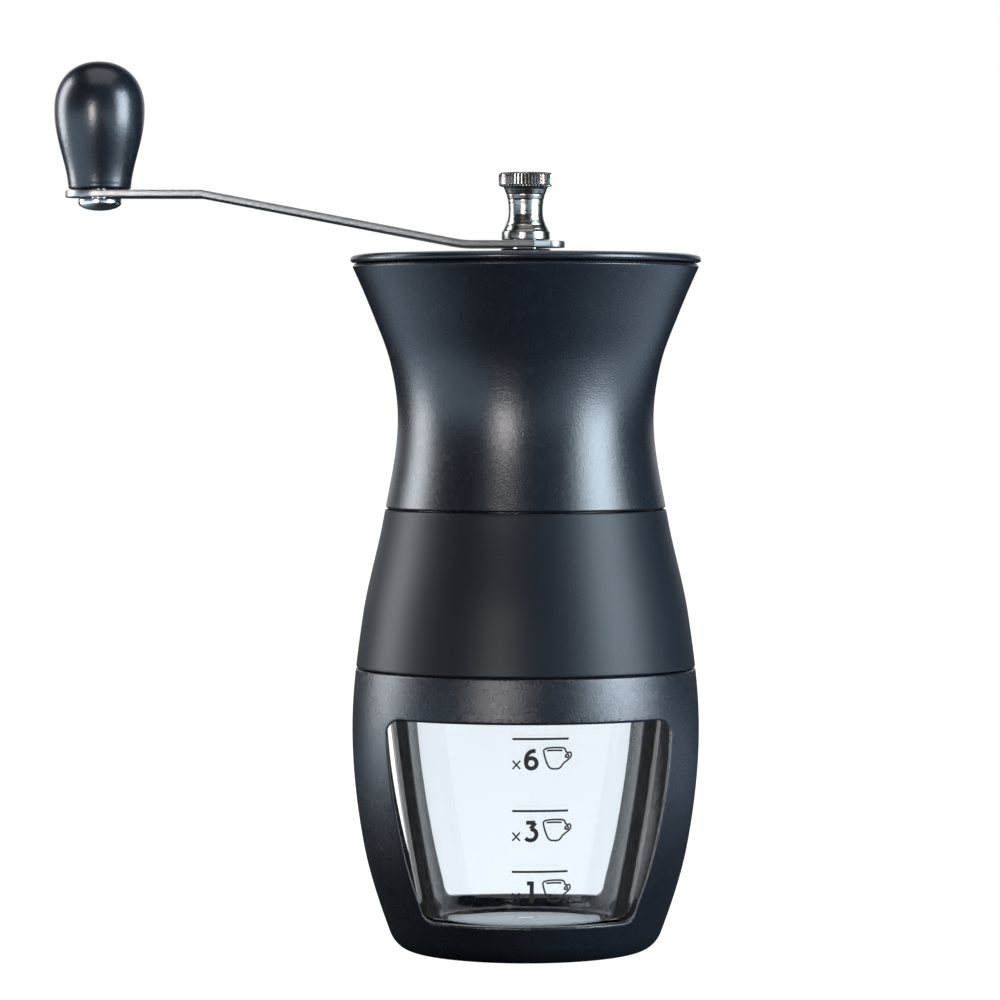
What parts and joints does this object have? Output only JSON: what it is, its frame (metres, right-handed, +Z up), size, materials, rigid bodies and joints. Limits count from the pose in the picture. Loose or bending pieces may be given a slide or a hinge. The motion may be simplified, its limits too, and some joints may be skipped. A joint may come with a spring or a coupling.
{
  "type": "hand crank coffee grinder",
  "caption": "Hourglass hand mill: flared hopper with lid and bent steel crank, rubber grip band, ceramic burrs, and a clear catch cup in a windowed base.",
  "frame": {"origin": "centre of the flat underside of the foot, on the shaft's axis", "axes": "+Z up along the shaft, -Y out of the front window, and the crank points along -X at rest"},
  "size_m": [0.1469, 0.08, 0.202],
  "materials": {
    "satin_black": "satin, fine spark-eroded grain",
    "knob_black": "satin",
    "inner_black": "plain moulded",
    "grip_rubber": "soft matte",
    "seal": "silicone",
    "clear_cup": "clear, slightly tinted, thick walled",
    "strip_steel": "brushed",
    "nut_nickel": "turned and knurled",
    "bright_steel": "turned",
    "burr_ceramic": "sintered",
    "bush_nylon": "moulded",
    "dial_brass": "machined"
  },
  "bodies": {
    "base": {"base_shell": "satin_black"},
    "cup": {"cup": "clear_cup"},
    "head": {"middle_shell": "inner_black", "grip_band": "grip_rubber", "seal_ring": "seal", "hopper": "satin_black", "shaft_guide": "inner_black", "upper_bush": "bush_nylon", "lower_bush": "bush_nylon", "burr_carrier": "inner_black", "outer_burr": "burr_ceramic", "carrier_screw_1": "bright_steel", "carrier_screw_2": "bright_steel", "carrier_screw_3": "bright_steel"},
    "lid": {"lid": "satin_black"},
    "shaft": {"drive_shaft": "bright_steel", "thrust_washer": "bright_steel", "circlip": "bright_steel", "burr_spring": "bright_steel"},
    "burr": {"inner_burr": "burr_ceramic", "detent_washer": "bright_steel"},
    "dial": {"adjust_dial": "inner_black", "dial_nut": "dial_brass"},
    "crank": {"crank_arm": "strip_steel", "crank_spacer": "inner_black", "knob_axle": "bright_steel"},
    "knob": {"knob": "knob_black"},
    "nut": {"thumb_nut": "nut_nickel"}
  },
  "joints": [
    {"name": "head_lift", "type": "slide", "parent": "base", "child": "head", "axis": [0, 0, 1], "range_m": [0, 0.09]},
    {"name": "cup_lift", "type": "slide", "parent": "base", "child": "cup", "axis": [0, 0, 1], "range_m": [0, 0.045]},
    {"name": "lid_lift", "type": "slide", "parent": "head", "child": "lid", "axis": [0, 0, 1], "range_m": [0, 0.024]},
    {"name": "crank_turn", "type": "hinge", "parent": "head", "child": "shaft", "pos_m": [0, 0, 0.12], "axis": [0, 0, 1], "continuous": true},
    {"name": "burr_feed", "type": "slide", "parent": "shaft", "child": "burr", "axis": [0, 0, -1], "range_m": [0, 0.0015], "deforming": ["burr_spring"]},
    {"name": "grind_adjust", "type": "hinge", "parent": "burr", "child": "dial", "pos_m": [0, 0, 0.072], "axis": [0, 0, 1], "range_deg": [0, 540]},
    {"name": "nut_lift", "type": "slide", "parent": "shaft", "child": "nut", "axis": [0, 0, 1], "range_m": [0, 0.06]},
    {"name": "crank_lift", "type": "slide", "parent": "shaft", "child": "crank", "axis": [0, 0, 1], "range_m": [0, 0.042]},
    {"name": "knob_spin", "type": "hinge", "parent": "crank", "child": "knob", "pos_m": [-0.0967, 0, 0.173], "axis": [0, 0, 1], "continuous": true}
  ],
  "couplings": [
    {"joint": "cup_lift", "follows": "head_lift", "ratio": 0.5},
    {"joint": "lid_lift", "follows": "nut_lift", "ratio": 0.4},
    {"joint": "crank_lift", "follows": "nut_lift", "ratio": 0.7},
    {"joint": "grind_adjust", "follows": "burr_feed", "rad_per_m": 6283.2}
  ]
}
